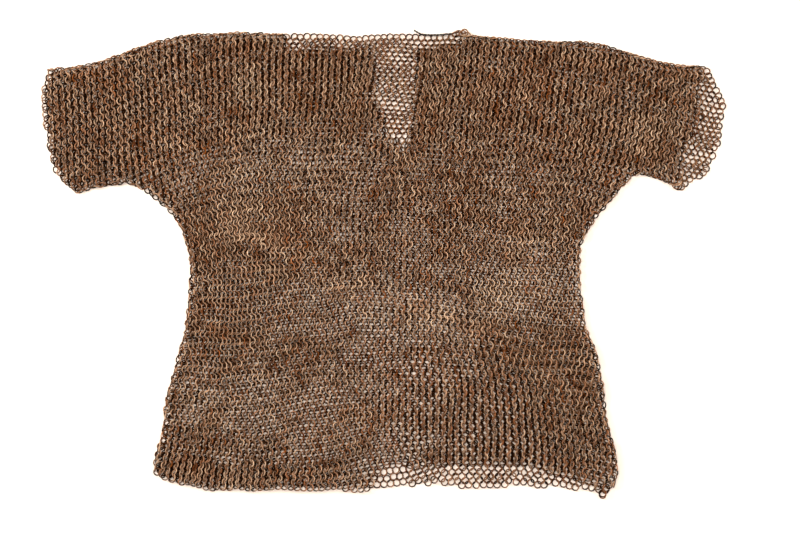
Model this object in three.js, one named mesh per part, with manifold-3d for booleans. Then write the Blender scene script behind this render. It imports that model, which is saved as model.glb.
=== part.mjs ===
// Short-sleeved mail shirt laid flat on its back, with the front layer on the back layer.
// Millimetres. X runs from the wearer's right cuff to the left one, Y towards the neck, Z up.
// Left and right in names are the wearer's, so the left sleeve lies towards +X.
import * as THREE from 'three';
import Module from 'manifold-3d';
import { mergeVertices } from 'three/addons/utils/BufferGeometryUtils.js';

// One layer of mail is as thick as a leaning ring and its wire, hammered a little flat.
const RING_RADIUS = 5.45;
const RING_THICKNESS = 1.4;
const RING_LEAN = THREE.MathUtils.degToRad(25.08);
const LAYER = 2 * RING_RADIUS * Math.sin(RING_LEAN) + RING_THICKNESS;

const GAP = 0.3; // between the two layers
const SEAM = 0.2; // each panel stops this far short of its seam
const ROLL = 6; // distance from a fold over which a layer rounds down to the other
const EDGE = 0.8; // what is left of a layer right at a fold
const EDGE_STEPS = [1.5, ROLL, 18]; // section lines beside the edges: two in the rounding, one past it

const TORSO_SIZE = [620, 180]; // nominal width and height of a torso panel
const TORSO_LINES = [14, 7]; // section lines across and along it
const SLEEVE_SIZE = [150, 190];
const SLEEVE_LINES = [5, 6];

// Folds, seams and open edges, each as the few points that its curve needs.
const EDGES = {
  shoulderRight: [[-492, 290], [-455, 294], [-412, 303], [-377, 316], [-333, 331], [-296, 340]],
  shoulderLeft: [[302, 328], [320, 326], [365, 313], [405, 301], [439, 296], [464, 295], [479, 291]],
  neckAndShoulders: [
    [-296, 340], [-250, 343], [-200, 344], [-140, 342], [-12, 341], [90, 341],
    [122, 342], [171, 336], [227, 331], [283, 331], [302, 328],
  ],
  cuffRight: [[-455, 107], [-466, 117], [-481, 140], [-489, 157], [-496, 191], [-502, 251], [-492, 290]],
  cuffLeftFront: [
    [437, 110], [440, 148], [446, 171], [458, 198], [467, 226], [464, 251], [472, 280], [479, 291],
  ],
  cuffLeftBack: [
    [439, 107], [452, 119], [470, 132], [483, 149], [495, 179], [501, 213], [502, 235], [492, 272],
    [479, 291],
  ],
  underarmRight: [[-455, 107], [-411, 118], [-374, 121], [-343, 106]],
  underarmLeft: [[351, 118], [368, 133], [384, 135], [411, 126], [438, 108]],
  armholeRight: [[-343, 106], [-296, 340]],
  armholeLeft: [[351, 118], [302, 328]],
  chestSeam: [[-343, 106], [-258, 143], [-123, 160], [0, 162], [142, 157], [283, 145], [351, 118]],
  waistRight: [[-292, -95], [-286, -48], [-284, -4], [-287, 25], [-296, 52], [-312, 79], [-343, 106]],
  waistLeft: [
    [299, -95], [296, -82], [290, -34], [288, 4], [289, 28], [299, 52], [312, 72], [331, 94], [351, 118],
  ],
  hipSeam: [[-292, -95], [-200, -103], [-100, -88], [0, -84], [100, -90], [200, -100], [299, -95]],
  skirtRight: [[-338, -304], [-334, -273], [-326, -247], [-320, -196], [-309, -156], [-292, -95]],
  skirtLeft: [
    [339, -328], [343, -292], [334, -247], [327, -219], [322, -175], [312, -125], [299, -95],
  ],
  hemFront: [
    [-338, -304], [-314, -315], [-289, -324], [-230, -328], [-92, -328], [-46, -332], [-18, -330],
    [2, -298], [30, -293], [183, -293], [246, -304], [284, -312], [306, -323], [321, -344], [339, -328],
  ],
  hemBack: [
    [-338, -304], [-314, -315], [-289, -324], [-230, -328], [-92, -328], [-46, -332], [-18, -330],
    [24, -321], [124, -325], [223, -325], [284, -329], [306, -329], [321, -345], [339, -328],
  ],
};

// The open neckline, and where the front is cut lower than the back with a slit below it.
const NECK_OPENING = [-140, 115];
const FRONT_NECKLINE = 322;
const SLIT_DOWN = [[-10, 312], [-12, 268], [-4, 240], [4, 216], [16, 192], [29, 176]];
const SLIT_UP = [[29, 176], [39, 205], [44, 240], [44, 294], [42, 322]];

// Long shallow creases of the front layer: two ends, height and half width.
const CREASES = [
  { from: [-66, -30], to: [40, -52], height: 2, spread: 14 },
  { from: [40, -52], to: [146, -96], height: 2, spread: 14 },
  { from: [-230, 60], to: [-120, 20], height: 1.5, spread: 16 },
  { from: [170, 40], to: [235, -40], height: 1.5, spread: 16 },
];

// A twisted iron wire mends the back of the neck and ends in a free, lifted tip.
const TIE_WIRE_RADIUS = 1.1;
const TIE_WIRE_PATH = [
  [111, 345, 0], [105, 343, 0], [80, 340.5, 0], [58, 341, 0], [50, 344, 0.6], [45, 347, 1.6],
];
const TIE_WIRE_SIDES = 8;
const TIE_WIRE_STEPS = 20;

const IRON = { color: 0x6b4a33, roughness: 0.6, metalness: 0.8 };
const BACK_IRON = { color: 0x4f382a, roughness: 0.65, metalness: 0.8 };
const DARK_WIRE = { color: 0x3a322c, roughness: 0.5, metalness: 0.9 };

const wasm = await Module();
wasm.setup();

const points2 = (list) => list.map(([x, y]) => new THREE.Vector2(x, y));

// A smooth curve through an edge's points.
const edge = (name) => new THREE.SplineCurve(points2(EDGES[name]));

function distanceToSegment(x, y, [ax, ay], [bx, by]) {
  const along = ((x - ax) * (bx - ax) + (y - ay) * (by - ay)) / ((bx - ax) ** 2 + (by - ay) ** 2);
  const held = THREE.MathUtils.clamp(along, 0, 1);
  return Math.hypot(x - ax - held * (bx - ax), y - ay - held * (by - ay));
}

function creaseLift(x, y) {
  return CREASES.reduce((lift, crease) => {
    const away = distanceToSegment(x, y, crease.from, crease.to) / crease.spread;
    return Math.max(lift, crease.height * Math.exp(-away * away));
  }, 0);
}

// Section lines from 0 to 1: evenly spaced, and closer beside the ends, where the folds are.
function sectionLines(count, length) {
  const near = EDGE_STEPS.map((step) => step / length);
  const first = near.pop();
  const even = Array.from({ length: count }, (_, i) => first + ((1 - 2 * first) * i) / (count - 1));
  return [0, ...near, ...even, ...near.map((step) => 1 - step).reverse(), 1];
}

// A patch between its bottom and top edges, which run along s, with the bulges of its start and
// end edges, which run along t. It stops a little short of each edge that is a seam.
function patchPoint({ edges, seams }, s, t) {
  const bulge = (curve) => curve.getPointAt(t).sub(curve.getPointAt(0).lerp(curve.getPointAt(1), t));
  const point = edges.bottom.getPointAt(s).lerp(edges.top.getPointAt(s), t);
  point.addScaledVector(bulge(edges.start), 1 - s).addScaledVector(bulge(edges.end), s);
  const short = (side) => (seams.includes(side) ? SEAM : 0);
  point.x += (1 - s) * short('start') - s * short('end');
  point.y += (1 - t) * short('bottom') - t * short('top');
  return point;
}

// Height of a layer's outer face over its inner one, at a distance from the nearest fold.
function layerHeight(distance) {
  const inside = THREE.MathUtils.clamp(distance / ROLL, 0, 1);
  return EDGE + (LAYER - EDGE) * Math.sqrt(1 - (1 - inside) ** 2);
}

// How far a point of a panel is from the nearest fold, where the layer rounds over to the other.
function distanceToFold(panel, s, t) {
  const span = patchPoint(panel, 0, t).distanceTo(patchPoint(panel, 1, t));
  const rise = patchPoint(panel, s, 0).distanceTo(patchPoint(panel, s, 1));
  const fromEdge = { start: s * span, end: (1 - s) * span, bottom: t * rise, top: (1 - t) * rise };
  return Math.min(Infinity, ...panel.folds.map((side) => fromEdge[side]));
}

// One panel of a layer as a closed wall. The neckline is open, so nothing rounds over there.
function panelGeometry(panel, layer) {
  const isFront = layer === 'front';
  const sLines = sectionLines(panel.lines[0], panel.size[0]);
  const tLines = sectionLines(panel.lines[1], panel.size[1]);
  const outer = [];
  const inner = [];
  for (const t of tLines) {
    for (const s of sLines) {
      const { x, y } = patchPoint(panel, s, t);
      const atNeck = panel.hasNeck && x > NECK_OPENING[0] && x < NECK_OPENING[1];
      const thick = atNeck ? LAYER : layerHeight(distanceToFold(panel, s, t));
      const seat = isFront ? LAYER + GAP + creaseLift(x, y) : LAYER;
      inner.push(x, y, seat);
      outer.push(x, y, isFront ? seat + thick : seat - thick);
    }
  }
  return closedWall(inner, outer, sLines.length, tLines.length, isFront);
}

// Joins two grids of points into one closed body whose faces point out.
function closedWall(inner, outer, columns, rows, outerIsTop) {
  const upper = outerIsTop ? outer : inner;
  const lower = outerIsTop ? inner : outer;
  const index = [];
  const top = (i, j) => j * columns + i;
  const low = (i, j) => top(i, j) + columns * rows;
  const quad = (a, b, c, d) => index.push(a, b, c, a, c, d);
  for (let j = 0; j < rows - 1; j += 1) {
    for (let i = 0; i < columns - 1; i += 1) {
      quad(top(i, j), top(i + 1, j), top(i + 1, j + 1), top(i, j + 1));
      quad(low(i, j), low(i, j + 1), low(i + 1, j + 1), low(i + 1, j));
    }
  }
  for (let i = 0; i < columns - 1; i += 1) {
    quad(low(i, 0), low(i + 1, 0), top(i + 1, 0), top(i, 0));
    quad(low(i + 1, rows - 1), low(i, rows - 1), top(i, rows - 1), top(i + 1, rows - 1));
  }
  for (let j = 0; j < rows - 1; j += 1) {
    quad(low(0, j + 1), low(0, j), top(0, j), top(0, j + 1));
    quad(low(columns - 1, j), low(columns - 1, j + 1), top(columns - 1, j + 1), top(columns - 1, j));
  }
  const geometry = new THREE.BufferGeometry();
  geometry.setAttribute('position', new THREE.Float32BufferAttribute([...upper, ...lower], 3));
  geometry.setIndex(index);
  return geometry;
}

function toManifold(geometry) {
  const bare = geometry.clone();
  bare.deleteAttribute('normal');
  bare.deleteAttribute('uv');
  const merged = mergeVertices(bare);
  return new wasm.Manifold(new wasm.Mesh({
    numProp: 3,
    vertProperties: new Float32Array(merged.attributes.position.array),
    triVerts: new Uint32Array(merged.index.array),
  }));
}

function fromManifold(solid) {
  const mesh = solid.getMesh();
  const geometry = new THREE.BufferGeometry();
  geometry.setAttribute('position', new THREE.BufferAttribute(new Float32Array(mesh.vertProperties), 3));
  geometry.setIndex(new THREE.BufferAttribute(new Uint32Array(mesh.triVerts), 1));
  return geometry;
}

// The neck opening of the front: the low neckline and the slit that tapers down to its tip.
function neckCutter() {
  const above = 400;
  const shape = new THREE.Shape();
  shape.moveTo(NECK_OPENING[0], above);
  shape.lineTo(NECK_OPENING[0], FRONT_NECKLINE);
  shape.lineTo(SLIT_DOWN[0][0], FRONT_NECKLINE);
  shape.splineThru(points2(SLIT_DOWN));
  shape.splineThru(points2(SLIT_UP.slice(1)));
  shape.lineTo(NECK_OPENING[1], FRONT_NECKLINE);
  shape.lineTo(NECK_OPENING[1], above);
  const through = { depth: 4 * LAYER, bevelEnabled: false, curveSegments: 4 };
  const cutter = new THREE.ExtrudeGeometry(shape, through);
  cutter.translate(0, 0, LAYER + GAP / 2);
  return cutter;
}

function tieWireGeometry() {
  const seat = LAYER + GAP + TIE_WIRE_RADIUS;
  const points = TIE_WIRE_PATH.map(([x, y, z]) => new THREE.Vector3(x, y, seat + z));
  const path = new THREE.CatmullRomCurve3(points);
  const section = new THREE.Shape();
  for (let i = 0; i < TIE_WIRE_SIDES; i += 1) {
    const turn = (2 * Math.PI * i) / TIE_WIRE_SIDES;
    const at = [TIE_WIRE_RADIUS * Math.cos(turn), TIE_WIRE_RADIUS * Math.sin(turn)];
    if (i === 0) section.moveTo(...at);
    else section.lineTo(...at);
  }
  return new THREE.ExtrudeGeometry(section, { extrudePath: path, steps: TIE_WIRE_STEPS });
}

const shirt = new THREE.Group();

function addPiece(name, geometry, look) {
  geometry.computeVertexNormals();
  const piece = new THREE.Mesh(geometry, new THREE.MeshStandardMaterial(look));
  piece.name = name;
  shirt.add(piece);
}

const TORSO = { size: TORSO_SIZE, lines: TORSO_LINES };
const SLEEVE = { size: SLEEVE_SIZE, lines: SLEEVE_LINES, folds: ['bottom', 'top'] };

// The five panels of a layer: front and back differ only at the hem and at the left cuff.
const panelsOf = (hem, leftCuff) => ({
  yoke: {
    ...TORSO,
    edges: {
      bottom: edge('chestSeam'),
      top: edge('neckAndShoulders'),
      start: edge('armholeRight'),
      end: edge('armholeLeft'),
    },
    seams: ['bottom', 'start', 'end'],
    folds: ['top'],
    hasNeck: true,
  },
  waist: {
    ...TORSO,
    edges: {
      bottom: edge('hipSeam'),
      top: edge('chestSeam'),
      start: edge('waistRight'),
      end: edge('waistLeft'),
    },
    seams: ['bottom', 'top'],
    folds: ['start', 'end'],
  },
  skirt: {
    ...TORSO,
    edges: {
      bottom: edge(hem),
      top: edge('hipSeam'),
      start: edge('skirtRight'),
      end: edge('skirtLeft'),
    },
    seams: ['top'],
    folds: ['start', 'end'],
  },
  sleeve_right: {
    ...SLEEVE,
    edges: {
      bottom: edge('underarmRight'),
      top: edge('shoulderRight'),
      start: edge('cuffRight'),
      end: edge('armholeRight'),
    },
    seams: ['end'],
  },
  sleeve_left: {
    ...SLEEVE,
    edges: {
      bottom: edge('underarmLeft'),
      top: edge('shoulderLeft'),
      start: edge('armholeLeft'),
      end: edge(leftCuff),
    },
    seams: ['start'],
  },
});

for (const [layer, hem, leftCuff, look] of [
  ['back', 'hemBack', 'cuffLeftBack', BACK_IRON],
  ['front', 'hemFront', 'cuffLeftFront', IRON],
]) {
  for (const [name, panel] of Object.entries(panelsOf(hem, leftCuff))) {
    let geometry = panelGeometry(panel, layer);
    if (layer === 'front' && panel.hasNeck) {
      geometry = fromManifold(toManifold(geometry).subtract(toManifold(neckCutter())));
    }
    addPiece(`${layer}_${name}`, geometry, look);
  }
}
addPiece('neck_tie_wire', tieWireGeometry(), DARK_WIRE);

// The origin is the middle of the shirt's outline, on the surface that it lies on.
const middle = new THREE.Box3().setFromObject(shirt).getCenter(new THREE.Vector3());
shirt.position.set(-middle.x, -middle.y, 0);

export default shirt;
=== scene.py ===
# A short-sleeved mail shirt, laid flat with its front layer on its back layer: about fifteen
# thousand linked rings of rust-brown iron wire, and a twisted wire that mends the neck.
import math

import bmesh
import bpy
import numpy as np
from mathutils import Matrix, Vector


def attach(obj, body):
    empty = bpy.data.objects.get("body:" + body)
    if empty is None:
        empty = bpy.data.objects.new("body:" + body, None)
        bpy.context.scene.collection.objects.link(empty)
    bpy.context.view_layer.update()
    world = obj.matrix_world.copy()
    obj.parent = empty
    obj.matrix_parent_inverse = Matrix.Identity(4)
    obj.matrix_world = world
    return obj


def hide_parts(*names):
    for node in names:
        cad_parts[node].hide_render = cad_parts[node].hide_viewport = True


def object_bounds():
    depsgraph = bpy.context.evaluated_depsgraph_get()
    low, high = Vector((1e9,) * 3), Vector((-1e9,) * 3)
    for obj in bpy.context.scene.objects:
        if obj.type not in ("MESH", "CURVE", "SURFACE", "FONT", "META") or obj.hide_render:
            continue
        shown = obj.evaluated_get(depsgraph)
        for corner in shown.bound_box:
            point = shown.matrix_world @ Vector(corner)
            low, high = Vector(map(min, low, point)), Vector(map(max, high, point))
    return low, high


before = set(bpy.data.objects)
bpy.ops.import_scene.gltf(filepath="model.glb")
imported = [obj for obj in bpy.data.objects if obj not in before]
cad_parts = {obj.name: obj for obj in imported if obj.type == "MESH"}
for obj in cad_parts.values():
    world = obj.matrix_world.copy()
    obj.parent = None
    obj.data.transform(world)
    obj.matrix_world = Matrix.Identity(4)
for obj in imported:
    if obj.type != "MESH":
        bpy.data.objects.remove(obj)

cad_low, cad_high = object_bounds()
scene = bpy.context.scene
MM = 0.001


# ---------------------------------------------------------------- camera, floor and light

scene.view_settings.view_transform = "Standard"

# Metres, except the sensor, which is in millimetres.
CAMERA_HEIGHT = 3.0
VIEW_WIDTH = 1.176
SENSOR_WIDTH = 36
CAMERA_OFFSET = (0.025, -0.0017)  # from the middle of the shirt
FLOOR_HALF_WIDTH = 6
LAMP_COLOUR = (1.0, 0.96, 0.9)
ROOM_LIGHT = 0.14
middle = (cad_low + cad_high) / 2

camera_data = bpy.data.cameras.new("overhead_camera")
camera_data.sensor_width = SENSOR_WIDTH
camera_data.lens = SENSOR_WIDTH * CAMERA_HEIGHT / VIEW_WIDTH
camera = bpy.data.objects.new("overhead_camera", camera_data)
camera.location = (middle.x + CAMERA_OFFSET[0], middle.y + CAMERA_OFFSET[1], CAMERA_HEIGHT)
scene.collection.objects.link(camera)
scene.camera = camera


def linear(colour):
    """An sRGB hex colour as the linear values that the shaders take."""
    parts = [int(colour[i : i + 2], 16) / 255 for i in (1, 3, 5)]
    return (*(p / 12.92 if p <= 0.04045 else ((p + 0.055) / 1.055) ** 2.4 for p in parts), 1)


def add(tree, kind, inputs=None, **settings):
    """Adds a shader node with its settings, and sets or links its inputs."""
    node = tree.nodes.new(kind)
    for name, value in settings.items():
        setattr(node, name, value)
    for name, value in (inputs or {}).items():
        if isinstance(value, bpy.types.NodeSocket):
            tree.links.new(value, node.inputs[name])
        else:
            node.inputs[name].default_value = value
    return node


def new_material(name):
    material = bpy.data.materials.new(name)
    material.use_nodes = True
    material.node_tree.nodes.clear()
    return material, material.node_tree


def finish_material(tree, surface):
    add(tree, "ShaderNodeOutputMaterial", {"Surface": surface.outputs[0]})


# Matt warm white paper: the bright, even ground that shows through single layers of rings.
paper, tree = new_material("matt_white_paper")
finish_material(
    tree,
    add(tree, "ShaderNodeBsdfPrincipled", {"Base Color": linear("#F6E7DC"), "Roughness": 0.9}),
)

bed = bmesh.new()
bmesh.ops.create_grid(bed, x_segments=1, y_segments=1, size=FLOOR_HALF_WIDTH)
floor_mesh = bpy.data.meshes.new("studio_floor")
bed.to_mesh(floor_mesh)
bed.free()
floor_mesh.materials.append(paper)
floor = bpy.data.objects.new("studio_floor", floor_mesh)
scene.collection.objects.link(floor)

world = bpy.data.worlds.new("studio_room")
world.use_nodes = True
background = world.node_tree.nodes["Background"]
background.inputs["Color"].default_value = (1, 1, 1, 1)
background.inputs["Strength"].default_value = ROOM_LIGHT
scene.world = world


def softbox(name, place, size, power):
    """A rectangular lamp that faces the middle of the floor."""
    data = bpy.data.lights.new(name, "AREA")
    data.shape = "RECTANGLE"
    data.size, data.size_y = size
    data.energy = power
    data.color = LAMP_COLOUR
    lamp = bpy.data.objects.new(name, data)
    lamp.location = place
    lamp.rotation_euler = (-Vector(place)).to_track_quat("-Z", "Y").to_euler()
    scene.collection.objects.link(lamp)


softbox("softbox_above", (-0.4, 0.5, 3.7), (2.6, 2.0), 124)
softbox("softbox_left", (-2.6, 0.9, 1.9), (1.0, 2.2), 120)
softbox("softbox_right", (2.6, 0.3, 1.9), (1.0, 2.2), 70)


# ---------------------------------------------------------------- outline of the shirt

# The rings' sizes, in millimetres. They are bent from a 1.65 mm wire and hammered a little flat.
RING_RADIUS = 5.45
RING_WIDTH = 2.0
RING_THICKNESS = 1.4
LAYER = 6.02  # thickness of one layer of leaning rings
GAP = 0.3
MIDDLE_HEIGHT = LAYER + GAP / 2
HALF_GAP = (LAYER + GAP) / 2  # from the middle of the two layers to the middle of one
FOLD_INSET = 1.8  # the outermost rings' middles are this far inside the outline
FOLD_REACH = 7.0  # and a layer starts to roll over this far inside them
FREE_MARGIN = 4.4  # a ring whose middle is nearer than this to an open edge is left out

# Folds and open edges of the two layers, each as the few points that its curve needs. Left and
# right are the wearer's, so the left sleeve lies towards +X.
SHOULDER_RIGHT = [(-492, 290), (-455, 294), (-412, 303), (-377, 316), (-333, 331), (-296, 340)]
SHOULDER_LEFT = [
    (302, 328), (320, 326), (365, 313), (405, 301), (439, 296), (464, 295), (479, 291),
]
NECK_RIGHT = [(-296, 340), (-250, 343), (-200, 344), (-140, 342)]
NECK_BACK = [(-140, 342), (-12, 341), (90, 341), (115, 342)]
NECK_LEFT = [(115, 342), (171, 336), (227, 331), (283, 331), (302, 328)]
CUFF_RIGHT = [
    (-455, 107), (-466, 117), (-481, 140), (-489, 157), (-496, 191), (-502, 251), (-492, 290),
]
CUFF_LEFT_FRONT = [
    (437, 110), (440, 148), (446, 171), (458, 198), (467, 226), (464, 251), (472, 280),
    (479, 291),
]
CUFF_LEFT_BACK = [
    (439, 107), (452, 119), (470, 132), (483, 149), (495, 179), (501, 213), (502, 235), (492, 272),
    (479, 291),
]
UNDERARM_RIGHT = [(-455, 107), (-411, 118), (-374, 121), (-343, 106)]
UNDERARM_LEFT = [(351, 118), (368, 133), (384, 135), (411, 126), (438, 108)]
WAIST_RIGHT = [
    (-292, -95), (-286, -48), (-284, -4), (-287, 25), (-296, 52), (-312, 79), (-343, 106),
]
WAIST_LEFT = [
    (299, -95), (296, -82), (290, -34), (288, 4), (289, 28), (299, 52), (312, 72), (331, 94),
    (351, 118),
]
SKIRT_RIGHT = [
    (-338, -304), (-334, -273), (-326, -247), (-320, -196), (-309, -156), (-292, -95),
]
SKIRT_LEFT = [
    (339, -328), (343, -292), (334, -247), (327, -219), (322, -175), (312, -125), (299, -95),
]
HEM_FRONT = [
    (-338, -304), (-314, -315), (-289, -324), (-230, -328), (-92, -328), (-46, -332), (-18, -330),
    (2, -298), (30, -293), (183, -293), (246, -304), (284, -312), (306, -323), (321, -344),
    (339, -328),
]
HEM_BACK = [
    (-338, -304), (-314, -315), (-289, -324), (-230, -328), (-92, -328), (-46, -332), (-18, -330),
    (24, -321), (124, -325), (223, -325), (284, -329), (306, -329), (321, -345),
    (339, -328),
]
NECKLINE_LEFT = [(115, 342), (114, 332), (84, 328), (42, 322)]
SLIT_LEFT = [(42, 322), (44, 294), (44, 240), (39, 205), (29, 176)]
SLIT_RIGHT = [(29, 176), (16, 192), (4, 216), (-4, 240), (-12, 268), (-10, 322)]
NECKLINE_RIGHT = [(-10, 322), (-140, 322), (-140, 342)]

# Where one panel of rings is joined to the next.
ARMHOLE_RIGHT = [(-343, 106), (-296, 340)]
ARMHOLE_LEFT = [(351, 118), (302, 328)]
CHEST_SEAM = [
    (-343, 106), (-258, 143), (-123, 160), (0, 162), (142, 157), (283, 145), (351, 118),
]
HIP_SEAM = [
    (-292, -95), (-200, -103), (-100, -88), (0, -84), (100, -90), (200, -100), (299, -95),
]
ARMHOLE_FOOT = 96  # the sleeves' panels are all above this height


def curve_through(points, steps=10):
    """A smooth curve through an edge's points, each stretch a cubic in t."""
    points = np.array(points, float)
    padded = np.vstack([points[:1], points, points[-1:]])
    t = np.linspace(0, 1, steps, endpoint=False)[:, None]
    stretches = []
    for a, b, c, d in zip(padded, padded[1:], padded[2:], padded[3:]):
        slope = (c - a) / 2
        bend = a - 2.5 * b + 2 * c - d / 2
        twist = 1.5 * (b - c) + (d - a) / 2
        stretches.append(b + t * slope + t**2 * bend + t**3 * twist)
    return np.vstack(stretches + [points[-1:]])


def outline_of(edges):
    """A closed outline as segments (start, end, whether it is a fold)."""
    starts, folds = [], []
    for points, backwards, fold, straight in edges:
        line = np.array(points, float) if straight else curve_through(points)
        line = line[::-1] if backwards else line
        starts.append(line[:-1])
        folds.append(np.full(len(line) - 1, fold))
    starts = np.vstack(starts)
    return starts, np.roll(starts, -1, axis=0), np.concatenate(folds)


def outline_edges(hem, left_cuff, neck):
    """The edges round one layer: points, and whether they run backwards, fold and are straight."""
    return [
        (hem, False, False, False),
        (SKIRT_LEFT, False, True, False),
        (WAIST_LEFT, False, True, False),
        (UNDERARM_LEFT, False, True, False),
        (left_cuff, False, False, False),
        (SHOULDER_LEFT, True, True, False),
        (NECK_LEFT, True, True, False),
        *neck,
        (NECK_RIGHT, True, True, False),
        (SHOULDER_RIGHT, True, True, False),
        (CUFF_RIGHT, True, False, False),
        (UNDERARM_RIGHT, False, True, False),
        (WAIST_RIGHT, True, True, False),
        (SKIRT_RIGHT, True, True, False),
    ]


front_neck = [
    (NECKLINE_LEFT, False, False, True),
    (SLIT_LEFT, False, False, False),
    (SLIT_RIGHT, False, False, False),
    (NECKLINE_RIGHT, False, False, True),
]
FRONT_OUTLINE = outline_of(outline_edges(HEM_FRONT, CUFF_LEFT_FRONT, front_neck))
back_neck = [(NECK_BACK, True, False, False)]
BACK_OUTLINE = outline_of(outline_edges(HEM_BACK, CUFF_LEFT_BACK, back_neck))

# The outline is drawn from the middle of the neck and waist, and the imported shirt's origin is the
# middle of its box, this far from there.
TO_FRAME = np.array([0.72, -2.43]) + np.array([middle.x, middle.y]) / MM


def inside_outline(points, outline):
    """Whether a line from each point to the right crosses the outline an odd number of times."""
    starts, ends, _ = outline
    x, y = points[:, :1], points[:, 1:]
    crosses = (starts[:, 1] > y) != (ends[:, 1] > y)
    rise = np.where(ends[:, 1] == starts[:, 1], 1, ends[:, 1] - starts[:, 1])
    at = starts[:, 0] + (y - starts[:, 1]) * (ends[:, 0] - starts[:, 0]) / rise
    return (crosses & (x < at)).sum(1) % 2 == 1


def nearest_on(points, starts, ends):
    """The nearest point of a set of segments, and how far it is."""
    along = ends - starts
    t = ((points[:, None] - starts) * along).sum(2) / (along**2).sum(1)
    spots = starts + np.clip(t, 0, 1)[..., None] * along
    away = np.linalg.norm(points[:, None] - spots, axis=2)
    best = away.argmin(1)
    pick = np.arange(len(points))
    return spots[pick, best], away[pick, best]


# ---------------------------------------------------------------- weave of the mail

# The weave's guide rows, from the shoulders to the hem, each through the same columns. Rows of
# rings run across the shirt and along both sleeves, and rise to the middle in shallow arches.
COLUMNS = [-20, -10, 0, 12, 24, 36, 48, 60, 71, 80, 90]
GUIDE_ROWS = {
    0: [
        (-499, 240), (-408, 273), (-317, 319), (-201, 340), (-83, 341), (30, 341),
        (136, 339), (245, 331), (345, 317), (424, 299), (509, 287),
    ],
    24: [
        (-493, 84), (-402, 125), (-309, 168), (-204, 194), (-95, 198), (11, 193),
        (114, 189), (221, 184), (323, 169), (401, 147), (483, 126),
    ],
    36: [
        (-476, -1), (-386, 34), (-298, 81), (-205, 101), (-110, 106), (-2, 107),
        (102, 105), (204, 100), (296, 94), (371, 71), (451, 44),
    ],
    48: [
        (-464, -49), (-376, -24), (-287, 1), (-199, 13), (-111, 18), (-8, 20),
        (99, 15), (198, 9), (289, 6), (362, -7), (443, -28),
    ],
    60: [
        (-461, -115), (-374, -106), (-287, -93), (-207, -91), (-115, -81), (-11, -73),
        (99, -79), (204, -93), (293, -100), (367, -112), (451, -125),
    ],
    72: [
        (-483, -203), (-399, -197), (-314, -191), (-214, -194), (-117, -179), (-14, -171),
        (105, -169), (226, -182), (320, -188), (399, -197), (487, -207),
    ],
    84: [
        (-505, -254), (-417, -263), (-329, -272), (-221, -287), (-112, -282), (-11, -262),
        (107, -253), (234, -259), (336, -270), (418, -278), (509, -287),
    ],
    90: [
        (-520, -287), (-429, -294), (-337, -304), (-227, -320), (-118, -323), (-11, -315),
        (105, -291), (233, -297), (340, -318), (427, -328), (517, -338),
    ],
}

# Long shallow creases of the front layer: two ends, height and half width.
CREASES = [
    ((-66, -30), (40, -52), 1.3, 14),
    ((40, -52), (146, -96), 1.3, 14),
    ((-230, 60), (-120, 20), 1.0, 16),
    ((170, 40), (235, -40), 1.0, 16),
]


def knot_weights(knots, values):
    """How much each knot counts on the smooth curve at each value, straight past the ends."""
    knots = np.array(knots, float)
    count = len(knots)
    slope = np.zeros((count, count))
    for i in range(count):
        low, high = max(i - 1, 0), min(i + 1, count - 1)
        slope[i, high] += 1 / (knots[high] - knots[low])
        slope[i, low] -= 1 / (knots[high] - knots[low])
    i = np.clip(np.searchsorted(knots, values, side="right") - 1, 0, count - 2)
    width = knots[i + 1] - knots[i]
    t = ((values - knots[i]) / width)[:, None]
    width = width[:, None]
    at, after = np.eye(count)[i], np.eye(count)[i + 1]
    smooth = (
        (2 * t**3 - 3 * t**2 + 1) * at + (t**3 - 2 * t**2 + t) * width * slope[i]
        + (3 * t**2 - 2 * t**3) * after + (t**3 - t**2) * width * slope[i + 1]
    )
    before = at + t * width * slope[i]
    past = after + (t - 1) * width * slope[i + 1]
    return np.where(t < 0, before, np.where(t > 1, past, smooth))


guide_net = np.array(list(GUIDE_ROWS.values()), float)


def weave_point(column, row):
    """Where a ring's middle lies in the drawing, for a column and a row of the weave."""
    across = knot_weights(COLUMNS, column)
    down = knot_weights(list(GUIDE_ROWS), row)
    return np.einsum("nr,rcx,nc->nx", down, guide_net, across)


SLACK_WAVES = 14


def slack(points, seed, size, reach):
    """A soft uneven drift of the mail, as slack in the weave lets it lie."""
    rng = np.random.default_rng(seed)
    drift = np.zeros_like(points)
    for _ in range(SLACK_WAVES):
        turn = rng.uniform(0, 2 * math.pi)
        wave = rng.uniform(0.6, 1.8) * reach
        phase = rng.uniform(0, 2 * math.pi)
        pull = rng.normal(size=2)
        run = points @ np.array([math.cos(turn), math.sin(turn)])
        drift += pull * np.sin(run * 2 * math.pi / wave + phase)[:, None]
    return drift * size / math.sqrt(SLACK_WAVES)


def unit(vectors):
    return vectors / np.linalg.norm(vectors, axis=1, keepdims=True)


def crease_lift(points):
    """How far the creases lift the front layer at each point."""
    lift = np.zeros(len(points))
    for start, end, height, spread in CREASES:
        _, away = nearest_on(points, np.array([start], float), np.array([end], float))
        lift = np.maximum(lift, height * np.exp(-((away / spread) ** 2)))
    return lift


def height_of(line, points):
    """Height of a seam up the shirt, at each point's place across it."""
    curve = curve_through(line)
    return np.interp(points[:, 0], curve[:, 0], curve[:, 1])


def side_of(line, points):
    """Place of a straight armhole across the shirt, at each point's height up it."""
    (ax, ay), (bx, by) = line
    return ax + (points[:, 1] - ay) * (bx - ax) / (by - ay)


def panel_of(points):
    """Which panel each ring belongs to."""
    names = np.full(len(points), "yoke", dtype=object)
    names[points[:, 1] < height_of(CHEST_SEAM, points)] = "waist"
    names[points[:, 1] < height_of(HIP_SEAM, points)] = "skirt"
    above = points[:, 1] > ARMHOLE_FOOT
    names[above & (points[:, 0] < side_of(ARMHOLE_RIGHT, points))] = "sleeve_right"
    names[above & (points[:, 0] > side_of(ARMHOLE_LEFT, points))] = "sleeve_left"
    return names


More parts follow.
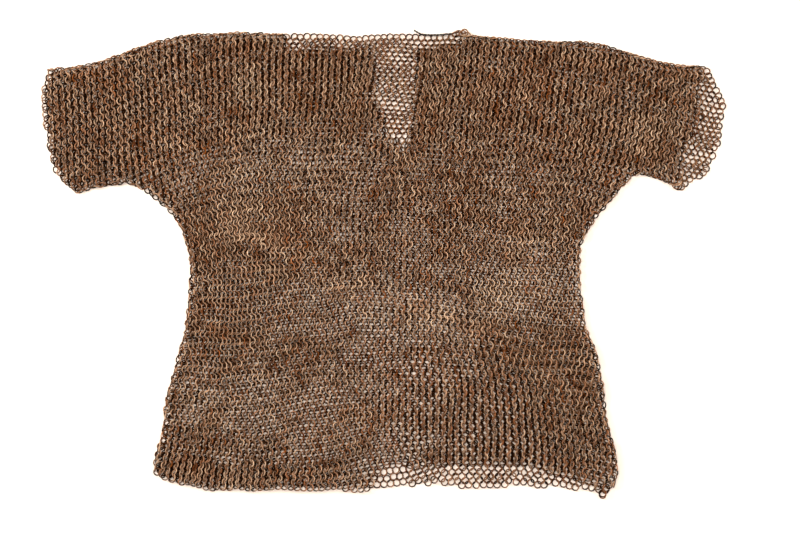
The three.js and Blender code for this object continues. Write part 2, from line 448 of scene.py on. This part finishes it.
# How the rings lie. Lengths are in the drawing's millimetres, and leans in degrees.
ROW_RANGE, COLUMN_RANGE = (-14, 98), (-22, 93)
NET_MIDDLE, NET_REACH = (0, 5), (520, 360)
NECK_HEIGHT, NECK_MARGIN = 328, 3.4  # above this height the margin at an open edge is smaller
SHARED_SLACK = [(3, 1.2, 90), (6, 0.7, 32)]  # both layers' drifts: seed, size and reach
OWN_SLACK = (0.2, 60)  # each layer's own drift: size and reach
LOOSE_START, LOOSE_REACH = 3, 20  # from a fold, which can't drift, to where the mail can
JITTER = 0.4
BARE_UNEVENNESS = 1.35
YAW_SPREAD, LEAN_SPREAD, NOD_SPREAD = math.radians(9), math.radians(4.5), math.radians(5)
LEAN, FLATTEST_LEAN, STEEPEST_LEAN = 25, 20, 27
LEAN_PITCH, LEAN_CHANGE = 7.6, 3.2  # rows this far apart have that lean, and closer rows lean more
# The back nests under the front, with its rings below the front's holes: rows of the weave, and how
# much of a row the back is shifted there.
NEST_ROWS, NEST_SHIFTS = [20, 45, 60], [0.72, 0.65, 0.58]
# How far inside the outermost place at a fold a layer's rings start. The front's may start past it,
# and are put back on it, so that they close the fold.
FRONT_FOLD_START, BACK_FOLD_START = -3.2, 0.6
EDGE_REACH = 7  # rings this near an open edge lie flatter
BODY_HEIGHT = 200  # and below this height more so than above it
BODY_FLATTER, SHOULDER_FLATTER = 0.3, 0.1


def weave_directions(column, row):
    """Each ring's axis up and down the weave, and how far apart the rows are there."""
    half = np.full(len(row), 0.5)
    along = weave_point(column + half, row) - weave_point(column - half, row)
    down = weave_point(column, row + half) - weave_point(column, row - half)
    cell = np.abs(along[:, 0] * down[:, 1] - along[:, 1] * down[:, 0])
    square = np.stack([along[:, 1], -along[:, 0]], 1)
    square *= np.sign((square * down).sum(1))[:, None]
    return unit(unit(square) + unit(down)), cell / np.linalg.norm(along, axis=1)


def roll_over(directions, hinge, angle):
    """Directions turned about each ring's own hinge, as the layer rolls over at a fold."""
    first = np.cross(hinge, directions)
    return directions + np.sin(angle) * first + (1 - np.cos(angle)) * np.cross(hinge, first)


def lay_rings(layer):
    """Places and directions of every ring of one layer, in the drawing's millimetres."""
    front = layer == "front"
    outline = FRONT_OUTLINE if front else BACK_OUTLINE
    starts, ends, folds = outline
    rng = np.random.default_rng(11 if front else 12)

    # Every second row is half a ring along, and rings far outside the shirt are dropped at once.
    rows, columns = np.meshgrid(np.arange(*ROW_RANGE), np.arange(*COLUMN_RANGE))
    row = rows.ravel().astype(float)
    column = columns.ravel() + np.where(row % 2 == 1, 0.5, 0)
    flat = weave_point(column, row)
    near = (np.abs(flat - NET_MIDDLE) < NET_REACH).all(1)
    row, column, flat = row[near], column[near], flat[near]

    _, to_fold = nearest_on(flat, starts[folds], ends[folds])
    loose = np.clip((to_fold - LOOSE_START) / LOOSE_REACH, 0, 1)[:, None]
    if not front:
        flat = weave_point(column, row + np.interp(row, NEST_ROWS, NEST_SHIFTS))
    _, to_free = nearest_on(flat, starts[~folds], ends[~folds])
    margin = np.where(flat[:, 1] > NECK_HEIGHT, NECK_MARGIN, FREE_MARGIN)
    flat = flat + sum(slack(flat, *drift) for drift in SHARED_SLACK) * loose
    flat = flat + slack(flat, 4 if front else 5, *OWN_SLACK) * loose
    # The back's bare rings, with nothing on them to press them flat, lie less evenly.
    uneven = np.where(inside_outline(flat, FRONT_OUTLINE), 1.0, BARE_UNEVENNESS)
    flat = flat + rng.normal(0, JITTER, flat.shape) * uneven[:, None]

    inside = inside_outline(flat, outline)
    on_fold, to_fold = nearest_on(flat, starts[folds], ends[folds])
    depth = np.where(inside, to_fold, -to_fold) - FOLD_INSET
    kept = (to_free > margin) & (inside | (to_fold < to_free))
    kept &= depth > (FRONT_FOLD_START if front else BACK_FOLD_START)
    row, column, flat, inside = row[kept], column[kept], flat[kept], inside[kept]
    depth, on_fold, to_free, uneven = depth[kept], on_fold[kept], to_free[kept], uneven[kept]
    turn = np.arcsin(np.clip(1 - depth / FOLD_REACH, 0, 1))

    # Each ring turns a little about the weave's own direction, and leans the way its row does.
    axis, row_pitch = weave_directions(column, row)
    yaw = rng.normal(0, YAW_SPREAD, len(row)) * uneven
    cos, sin = np.cos(yaw), np.sin(yaw)
    axis = np.stack([axis[:, 0] * cos - axis[:, 1] * sin, axis[:, 0] * sin + axis[:, 1] * cos], 1)
    across = np.stack([-axis[:, 1], axis[:, 0]], 1)
    lean = LEAN + LEAN_CHANGE * (LEAN_PITCH - row_pitch)
    lean = np.radians(np.clip(lean, FLATTEST_LEAN, STEEPEST_LEAN))
    lean = lean + rng.normal(0, LEAN_SPREAD, len(row)) * uneven
    free = np.clip(1 - (to_free - FREE_MARGIN) / EDGE_REACH, 0, 1)
    flatter = np.where(flat[:, 1] < BODY_HEIGHT, BODY_FLATTER, SHOULDER_FLATTER)
    lean = lean * (1 - flatter * free) * (1 - 0.5 * np.sin(turn)) * np.where(row % 2 == 0, 1, -1)
    nod = rng.normal(0, NOD_SPREAD, len(row)) * uneven
    a = np.column_stack([axis * np.cos(nod)[:, None], np.sin(nod)])
    b = np.column_stack([across * np.cos(lean)[:, None], np.sin(lean)])
    b = unit(b - (a * b).sum(1)[:, None] * a)

    # Near a fold the ring's place and directions roll over with the layer.
    outward = unit(np.where(inside[:, None], 1, -1) * (on_fold - flat) + 1e-9)
    hinge = np.column_stack([-outward[:, 1], outward[:, 0], np.zeros(len(row))])
    angle = (turn if front else -turn)[:, None]
    a, b = roll_over(a, hinge, angle), roll_over(b, hinge, angle)
    normal = np.cross(a, b)
    flat = np.where((depth < 0)[:, None], on_fold - outward * FOLD_INSET, flat)
    lift = HALF_GAP * np.cos(turn) * (1 if front else -1)
    if front:
        lift += crease_lift(flat) * (1 - free)
    # No ring stands out above or below the two layers.
    tilt = np.sqrt(np.clip(1 - normal[:, 2] ** 2, 0, 1))
    tall = (RING_RADIUS + RING_WIDTH / 2) * tilt + RING_THICKNESS / 2 * np.abs(normal[:, 2])
    top = 2 * MIDDLE_HEIGHT + (crease_lift(flat) if front else 0)
    height = np.maximum(np.minimum(MIDDLE_HEIGHT + lift, top - tall), tall)
    return {
        "flat": flat, "place": np.column_stack([flat, height]), "a": a, "b": b, "normal": normal,
        "panel": panel_of(flat),
    }


# Loose rings that the end of the tie wire is hooked through: middle, turn and lean in degrees.
HOOKED_RINGS = [
    ((106, 341, 6.4), 15, 52), ((111, 343, 6.6), -20, -40), ((116, 342, 6.4), 35, 48),
    ((119, 344, 6.2), -35, 34), ((122, 341, 6.6), 5, -50),
]


def hook_on(rings):
    """Adds the loose rings to the back's yoke."""
    for place, turn, lean in HOOKED_RINGS:
        turn, lean = math.radians(turn), math.radians(lean)
        a = np.array([math.cos(turn), math.sin(turn), 0])
        b = np.array([-math.sin(turn), math.cos(turn), 0]) * math.cos(lean)
        b[2] = math.sin(lean)
        more = {
            "flat": [place[:2]], "place": [place], "a": [a], "b": [b], "normal": [np.cross(a, b)],
            "panel": np.array(["yoke"], dtype=object),
        }
        for part, values in more.items():
            rings[part] = np.concatenate([rings[part], values])


# ---------------------------------------------------------------- one ring, and joined panels

BAKE_CELLS = 54  # cells across a panel's bake map, one for each ring
BAKE_BORDER = 0.1  # of a cell
SECTION_DROP = 0.2  # puts the section's middle height on the ring's own plane, in millimetres


def ring_template(steps):
    """A closed ring, spun from a section with a crown above a flat, and where its corners are."""
    ring = bmesh.new()
    # A regular triangle is sqrt(3) times as wide as its reach, and 1.5 times as high.
    reach = RING_WIDTH / math.sqrt(3)
    section = bmesh.ops.create_circle(
        ring, cap_ends=False, segments=3, radius=reach,
        matrix=Matrix.Translation((RING_RADIUS, 0, -SECTION_DROP))
        @ Matrix.Diagonal((1, 1, RING_THICKNESS / (1.5 * reach), 1))
        @ Matrix.Rotation(math.pi / 2, 4, "X")
        @ Matrix.Rotation(math.pi / 2, 4, "Z"),
    )
    bmesh.ops.spin(
        ring, geom=section["verts"] + ring.edges[:], cent=(0, 0, 0), axis=(0, 0, 1),
        angle=2 * math.pi, steps=steps, use_merge=True,
    )
    bmesh.ops.remove_doubles(ring, verts=ring.verts, dist=0.01)
    bmesh.ops.recalc_face_normals(ring, faces=ring.faces)
    ring.verts.index_update()
    points = np.array([v.co for v in ring.verts])

    def turns_at(spot):
        """How far round the ring and round its section a spot is, in turns."""
        over = math.atan2(spot.z, math.hypot(spot.x, spot.y) - RING_RADIUS)
        return np.array([math.atan2(spot.y, spot.x), over]) / (2 * math.pi)

    faces, cells = [], []
    for face in ring.faces:
        faces.append([v.index for v in face.verts])
        face_turns = turns_at(face.calc_center_median())
        for v in face.verts:
            corner_turns = turns_at(v.co)
            cells.append(corner_turns + np.round(face_turns - corner_turns))
    ring.free()
    cells = np.array(cells)
    cells -= cells.min(0)
    return points, np.array(faces), cells / cells.max(0)


EXPOSED_RING = ring_template(12)
HIDDEN_RING = ring_template(9)


def rings_mesh(name, rings, chosen, template, looks):
    """One panel of rings as a joined mesh, with each ring's looks and its own bake cell."""
    points, faces, cells = template
    count = int(chosen.sum())
    place = rings["place"][chosen]
    turns = np.stack([rings["a"][chosen], rings["b"][chosen], rings["normal"][chosen]], 1)
    spins = np.random.default_rng(len(name)).uniform(0, 2 * math.pi, count)
    cos, sin = np.cos(spins)[:, None], np.sin(spins)[:, None]
    x = cos * points[:, 0] - sin * points[:, 1]
    y = sin * points[:, 0] + cos * points[:, 1]
    local = np.stack([x, y, np.broadcast_to(points[:, 2], x.shape)], 2)
    placed = np.einsum("npk,nkx->npx", local, turns) + place[:, None]
    placed[..., :2] += TO_FRAME
    verts = placed.reshape(-1, 3) * MM
    quads = (faces[None] + np.arange(count)[:, None, None] * len(points)).reshape(-1, 4)

    mesh = bpy.data.meshes.new(name)
    mesh.from_pydata(verts, [], quads)
    mesh.polygons.foreach_set("use_smooth", np.ones(len(quads), bool))
    for title, values in looks.items():
        attribute = mesh.attributes.new(title, "FLOAT", "POINT")
        each = np.repeat(values[chosen], len(points)).astype(np.float32)
        attribute.data.foreach_set("value", each)
    index = np.arange(count)
    corner = np.stack([index % BAKE_CELLS, index // BAKE_CELLS], 1)
    uv = (corner[:, None] + BAKE_BORDER + (1 - 2 * BAKE_BORDER) * cells[None]) / BAKE_CELLS
    mesh.uv_layers.new(name="OFBake").data.foreach_set("uv", uv.reshape(-1).astype(np.float32))
    mesh.update()
    piece = bpy.data.objects.new(name, mesh)
    scene.collection.objects.link(piece)
    return piece


# ---------------------------------------------------------------- patches of rust and wear

# Where the mail is greyer and more rubbed, and where the rust is brighter: middle, reach across,
# reach down and strength, in the drawing's millimetres.
RUBBED_PATCHES = [
    ((178, -45), 36, 26, 0.9), ((374, 200), 34, 24, 0.6), ((215, 34), 32, 18, 0.6),
    ((-196, 268), 26, 18, 0.6), ((-60, -25), 60, 20, 0.25), ((-215, 120), 40, 70, 0.3),
    ((-255, -205), 40, 30, 0.4), ((60, -75), 70, 20, 0.4), ((-110, 130), 50, 60, 0.3),
]
RUSTY_PATCHES = [
    ((-20, -225), 55, 30, 0.6), ((-424, 282), 45, 14, 0.7), ((90, -150), 90, 60, 0.3),
    ((-330, 180), 60, 50, 0.35), ((230, 250), 90, 40, 0.25), ((240, -160), 60, 70, 0.2),
]
# Each ring's rubbing and rust, from 0 to 1: the usual amount, the share of the patches, the shares
# of the broad and the close drifts, and the spread from ring to ring.
USUAL, PATCH_SHARE = 0.42, 0.6
RUBBED_DRIFTS, RUBBED_SPREAD = (0.04, 0.04), 0.17
RUST_DRIFTS, RUST_SPREAD = (-0.04, 0.05), 0.20
TONE_SPREAD = 0.16


def patches(points, spots):
    """How much of the soft patches each point has."""
    total = np.zeros(len(points))
    for (x, y), wide, tall, strength in spots:
        across, down = (points[:, 0] - x) / wide, (points[:, 1] - y) / tall
        total += strength * np.exp(-(across**2) - down**2)
    return total


def ring_looks(rings, seed):
    """How rusty, how rubbed and how dark each ring is, in soft patches and from ring to ring."""
    rng = np.random.default_rng(seed)
    flat = rings["flat"]
    count = len(flat)
    broad = slack(flat, seed + 1, 1, 110)[:, 0]
    close = slack(flat, seed + 2, 1, 34)[:, 0]

    def amount(drifts, spots, spread):
        soft = USUAL + drifts[0] * broad + drifts[1] * close + PATCH_SHARE * patches(flat, spots)
        return np.clip(soft + rng.normal(0, spread, count), 0, 1)

    return {
        "rubbed": amount(RUBBED_DRIFTS, RUBBED_PATCHES, RUBBED_SPREAD),
        "rust": amount(RUST_DRIFTS, RUSTY_PATCHES, RUST_SPREAD),
        "tone": np.clip(0.5 + rng.normal(0, TONE_SPREAD, count), 0, 1),
    }


# ---------------------------------------------------------------- materials


def iron_material(name, hollow, high, dark, brown, rust, rubbed):
    """Rusted drawn iron wire, darkest at the hollow's height with painted shade and palest at the
    high spots' with rubbed wear and a painted highlight.
    """
    material, tree = new_material(name)
    place = add(tree, "ShaderNodeTexCoord").outputs["Object"]
    own = {
        title: add(tree, "ShaderNodeAttribute", attribute_name=title).outputs["Fac"]
        for title in ("rubbed", "rust", "tone")
    }
    # Blooms of rust, 5 mm across, and grains, 0.6 mm across. The noise is about 0.5, so each is
    # widened about 0 before it is added.
    bloom = add(
        tree, "ShaderNodeTexNoise",
        {"Vector": place, "Scale": 1 / (5 * MM), "Detail": 3, "Roughness": 0.6},
    )
    grain = add(
        tree, "ShaderNodeTexNoise",
        {"Vector": place, "Scale": 1 / (0.625 * MM), "Detail": 2, "Roughness": 0.7},
    )
    blotch = add(
        tree, "ShaderNodeMath", {0: bloom.outputs["Fac"], 1: 1.5, 2: -0.75},
        operation="MULTIPLY_ADD",
    )
    rusted = add(
        tree, "ShaderNodeMath", {0: blotch.outputs[0], 1: own["rust"]}, operation="ADD",
        use_clamp=True,
    )
    coat = add(tree, "ShaderNodeValToRGB", {"Fac": rusted.outputs[0]})
    ramp = coat.color_ramp
    ramp.elements[0].position, ramp.elements[0].color = 0.1, linear(dark)
    ramp.elements[1].position, ramp.elements[1].color = 0.95, linear(rust)
    middle_stop = ramp.elements.new(0.5)
    middle_stop.color = linear(brown)

    # The crowns of the wires, high in each layer, get a greyish brown, more where the ring is worn:
    # partly rubbed wear and partly a painted highlight.
    height = add(tree, "ShaderNodeSeparateXYZ", {"Vector": place}).outputs["Z"]
    crown = add(
        tree, "ShaderNodeMapRange",
        {"Value": height, "From Min": hollow * MM, "From Max": high * MM},
        interpolation_type="SMOOTHSTEP",
    )
    grainy = add(
        tree, "ShaderNodeMath", {0: grain.outputs["Fac"], 1: 0.8, 2: -0.4},
        operation="MULTIPLY_ADD",
    )
    wear_and_highlight = add(
        tree, "ShaderNodeMath", {0: own["rubbed"], 1: grainy.outputs[0]}, operation="ADD",
        use_clamp=True,
    )
    wear_and_highlight = add(
        tree, "ShaderNodeMath", {0: crown.outputs[0], 1: wear_and_highlight.outputs[0]}, operation="MULTIPLY",
    )
    skin = add(
        tree, "ShaderNodeMix",
        {"Factor": wear_and_highlight.outputs[0], 6: coat.outputs["Color"], 7: linear(rubbed)},
        data_type="RGBA",
    )
    # Painted shade darkens the hollows, low in each layer, and a painted highlight brightens the
    # crowns a little; some rings are darker than others.
    depth = add(
        tree, "ShaderNodeMapRange", {"Value": crown.outputs[0], "To Min": 0.07, "To Max": 1.08},
    )
    shade = add(tree, "ShaderNodeMapRange", {"Value": own["tone"], "To Min": 0.65, "To Max": 1.3})
    # The painted shade of the hollows times each ring's own tone.
    both = add(
        tree, "ShaderNodeMath", {0: depth.outputs[0], 1: shade.outputs[0]}, operation="MULTIPLY",
    )
    colour = add(
        tree, "ShaderNodeVectorMath", {0: skin.outputs[2], "Scale": both.outputs[0]},
        operation="SCALE",
    )
    rough = add(
        tree, "ShaderNodeMapRange", {"Value": wear_and_highlight.outputs[0], "To Min": 0.68, "To Max": 0.42},
    )
    pits = add(
        tree, "ShaderNodeBump",
        {"Height": grain.outputs["Fac"], "Strength": 0.35, "Distance": 0.2 * MM},
    )
    finish_material(
        tree,
        add(
            tree, "ShaderNodeBsdfPrincipled",
            {
                "Base Color": colour.outputs[0], "Metallic": 0.25, "Roughness": rough.outputs[0],
                "Specular IOR Level": 0.12, "Specular Tint": linear("#FFD6B4"),
                "Normal": pits.outputs[0],
            },
        ),
    )
    return material


# Rusted drawn iron wire of the upper layer: rust-brown, darker in its hollows as painted shade, and
# a dull greyish tan along the crowns of the rings, partly rubbed wear and partly a painted
# highlight.
upper_iron = iron_material(
    "rusted_iron_wire_rubbed_and_highlit", hollow=LAYER + GAP + 1.3, high=2 * LAYER + GAP - 0.6,
    dark="#4A1E04", brown="#70380C", rust="#8E4A14", rubbed="#CFB093",
)
# The same wire in the layer beneath, with a darker coat and darker crowns as painted shade under
# the upper layer.
lower_iron = iron_material(
    "rusted_iron_wire_painted_shade", hollow=0.9, high=LAYER - 0.6,
    dark="#361402", brown="#562708", rust="#74390C", rubbed="#A67E5C",
)

# Blackened soft iron wire: nearly black, with a dull sheen on each twist and scale marks 2.4 mm
# across.
black_wire, tree = new_material("blackened_iron_wire")
place = add(tree, "ShaderNodeTexCoord").outputs["Object"]
scale_marks = add(tree, "ShaderNodeTexNoise", {"Vector": place, "Scale": 420, "Detail": 3})
tint = add(tree, "ShaderNodeValToRGB", {"Fac": scale_marks.outputs["Fac"]})
dark_stop, pale_stop = tint.color_ramp.elements
dark_stop.position, dark_stop.color = 0.35, linear("#1E1A18")
pale_stop.position, pale_stop.color = 0.7, linear("#453D37")
finish_material(
    tree,
    add(
        tree, "ShaderNodeBsdfPrincipled",
        {"Base Color": tint.outputs["Color"], "Metallic": 0.6, "Roughness": 0.45},
    ),
)


# ---------------------------------------------------------------- the panels

PANELS = ["yoke", "waist", "skirt", "sleeve_left", "sleeve_right"]
layers = {"front": lay_rings("front"), "back": lay_rings("back")}
hook_on(layers["back"])
for layer, rings in layers.items():
    looks = ring_looks(rings, 21 if layer == "front" else 31)
    template = EXPOSED_RING if layer == "front" else HIDDEN_RING
    for panel in PANELS:
        chosen = rings["panel"] == panel
        name = f"{layer}_{panel}"
        piece = rings_mesh(f"{name}_rings", rings, chosen, template, looks)
        piece.data.materials.append(upper_iron if layer == "front" else lower_iron)
        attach(piece, "root")
        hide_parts(name)


# ---------------------------------------------------------------- the neck's tie wire

# Millimetres, with heights above the wire's own level on the mail.
STRAND_RADIUS = 0.78
STRAND_OFFSET = 0.65  # from the middle of the twist
TWIST = 4.5  # length of a half turn
TIE_LEVEL = LAYER + GAP + 1.1
TIE_PATH = [
    (111, 345, 0), (105, 343, 0), (80, 340.5, 0), (58, 341, 0), (50, 344, 0.6), (45, 347, 1.6),
]


def strand_mesh(phase):
    """One strand of the tie wire, wound round its path."""
    path = curve_through(TIE_PATH, 16)
    steps = np.linalg.norm(np.diff(path, axis=0), axis=1)
    run = np.concatenate([[0], np.cumsum(steps)])
    tangent = unit(np.gradient(path, axis=0))
    side = unit(np.cross(tangent, [0, 0, 1]))
    up = np.cross(side, tangent)
    wind = (run / TWIST * math.pi + phase)[:, None]
    line = path + STRAND_OFFSET * (np.cos(wind) * side + np.sin(wind) * up)
    line[:, 2] += TIE_LEVEL
    line[:, :2] += TO_FRAME
    data = bpy.data.curves.new("strand", "CURVE")
    data.dimensions = "3D"
    data.bevel_depth = STRAND_RADIUS * MM
    data.bevel_resolution = 1
    data.use_fill_caps = True
    spline = data.splines.new("POLY")
    spline.points.add(len(line) - 1)
    spline.points.foreach_set("co", np.column_stack([line * MM, np.ones(len(line))]).ravel())
    holder = bpy.data.objects.new("strand", data)
    mesh = bpy.data.meshes.new_from_object(holder)
    bpy.data.objects.remove(holder)
    return mesh


twisted = bmesh.new()
for phase in (0, math.pi):
    strand = strand_mesh(phase)
    twisted.from_mesh(strand)
    bpy.data.meshes.remove(strand)
bmesh.ops.remove_doubles(twisted, verts=twisted.verts, dist=1e-6)
bmesh.ops.recalc_face_normals(twisted, faces=twisted.faces)
tie_mesh = bpy.data.meshes.new("tie_wire_twisted")
twisted.to_mesh(tie_mesh)
twisted.free()
tie_mesh.polygons.foreach_set("use_smooth", np.ones(len(tie_mesh.polygons), bool))
tie_mesh.materials.append(black_wire)
tie = bpy.data.objects.new("tie_wire_twisted", tie_mesh)
scene.collection.objects.link(tie)
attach(tie, "root")
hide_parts("neck_tie_wire")
